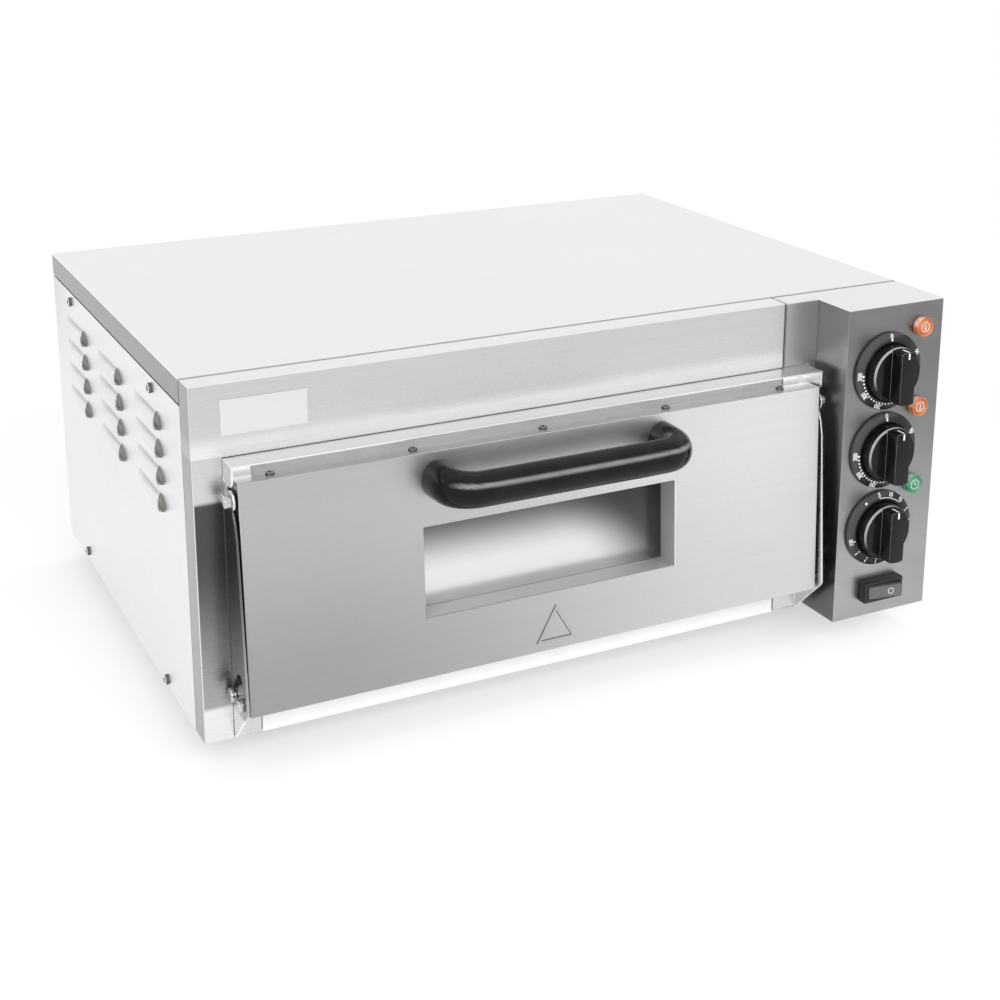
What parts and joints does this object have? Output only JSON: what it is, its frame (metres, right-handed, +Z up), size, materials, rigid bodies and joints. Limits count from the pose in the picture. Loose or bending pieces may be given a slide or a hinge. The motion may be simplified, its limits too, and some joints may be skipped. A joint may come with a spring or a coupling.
{
  "type": "deck oven",
  "caption": "Countertop single-deck stone oven: stainless casing, drop-down door with window and bow handle, column of rotary controls, lamps and a rocker switch.",
  "frame": {"origin": "on the resting surface, midway between the sides and midway between the front of the door handle and the back of the cable gland", "axes": "+X along the front towards the control column, +Z up, -Y out of the door"},
  "size_m": [0.5684, 0.4704, 0.2673],
  "materials": {
    "casing_steel": "fine brushed, satin",
    "top_steel": "fine brushed, satin, brushed front to back",
    "column_steel": "fine brushed upright",
    "door_steel": "brushed, fine grained",
    "inner_steel": "smooth rolled",
    "galvanised_steel": "zinc coated, faint spangle",
    "plain_steel": "plain rolled",
    "element_steel": "dull, heat browned",
    "bright_steel": "bright",
    "baking_stone": "fired clay, open grained",
    "mineral_wool": "matted fibre",
    "handle_plastic": "high gloss",
    "dial_plastic": "satin",
    "knob_plastic": "semi-gloss, moulded",
    "switch_plastic": "satin",
    "rocker_plastic": "dark translucent, glossy",
    "gland_plastic": "moulded nylon",
    "regulator_plastic": "moulded",
    "terminal_ceramic": "unglazed",
    "amber_lens": "clear tinted, glossy",
    "green_lens": "clear tinted, glossy",
    "door_glass": "clear, polished",
    "foot_rubber": "moulded, dull"
  },
  "bodies": {
    "cabinet": {"base_pan": "galvanised_steel", "front_frame": "casing_steel", "mouth_frame": "casing_steel", "hinge_bracket_left": "casing_steel", "hinge_bracket_right": "casing_steel", "hood": "casing_steel", "left_side_panel": "casing_steel", "right_side_panel": "casing_steel", "back_panel": "casing_steel", "top_cover": "top_steel", "front_left_foot": "foot_rubber", "front_right_foot": "foot_rubber", "rear_left_foot": "foot_rubber", "rear_right_foot": "foot_rubber", "chamber_liner": "inner_steel", "stone_rail_left": "plain_steel", "stone_rail_right": "plain_steel", "baking_stone": "baking_stone", "lower_element": "element_steel", "upper_element": "element_steel", "lower_sensing_bulb": "bright_steel", "upper_sensing_bulb": "bright_steel", "insulation_wrap": "mineral_wool", "insulation_back": "mineral_wool", "control_partition": "galvanised_steel", "control_housing": "column_steel", "upper_dial": "dial_plastic", "lower_dial": "dial_plastic", "timer_dial": "dial_plastic", "upper_thermostat": "regulator_plastic", "lower_thermostat": "regulator_plastic", "timer": "regulator_plastic", "upper_lamp": "amber_lens", "lower_lamp": "amber_lens", "timer_lamp": "green_lens", "switch_housing": "switch_plastic", "terminal_block": "terminal_ceramic", "cable_gland": "gland_plastic", "hinge_pin_left": "bright_steel", "hinge_pin_right": "bright_steel"},
    "door": {"door_outer_skin": "door_steel", "door_inner_pan": "inner_steel", "window_tunnel": "inner_steel", "door_glass": "door_glass", "glass_retainer": "galvanised_steel", "door_insulation": "mineral_wool", "door_hinge_plate_left": "plain_steel", "door_hinge_plate_right": "plain_steel", "stop_pin_left": "bright_steel", "stop_pin_right": "bright_steel", "handle": "handle_plastic"},
    "upper_control": {"upper_knob": "knob_plastic", "upper_shaft": "bright_steel"},
    "lower_control": {"lower_knob": "knob_plastic", "lower_shaft": "bright_steel"},
    "timer_control": {"timer_knob": "knob_plastic", "timer_shaft": "bright_steel"},
    "switch": {"rocker": "rocker_plastic"}
  },
  "joints": [
    {"name": "door_hinge", "type": "hinge", "parent": "cabinet", "child": "door", "pos_m": [-0.03665, -0.19282, 0.0585], "axis": [1, 0, 0], "range_deg": [0, 80]},
    {"name": "upper_thermostat_turn", "type": "hinge", "parent": "cabinet", "child": "upper_control", "pos_m": [0.2309, -0.20682, 0.2177], "axis": [0, 1, 0], "range_deg": [0, 270]},
    {"name": "lower_thermostat_turn", "type": "hinge", "parent": "cabinet", "child": "lower_control", "pos_m": [0.2309, -0.20682, 0.1564], "axis": [0, 1, 0], "range_deg": [0, 270]},
    {"name": "timer_turn", "type": "hinge", "parent": "cabinet", "child": "timer_control", "pos_m": [0.2309, -0.20682, 0.0951], "axis": [0, 1, 0], "range_deg": [-33, 255]},
    {"name": "switch_rock", "type": "hinge", "parent": "cabinet", "child": "switch", "pos_m": [0.2352, -0.21082, 0.0456], "axis": [0, 0, 1], "range_deg": [0, 16]}
  ]
}
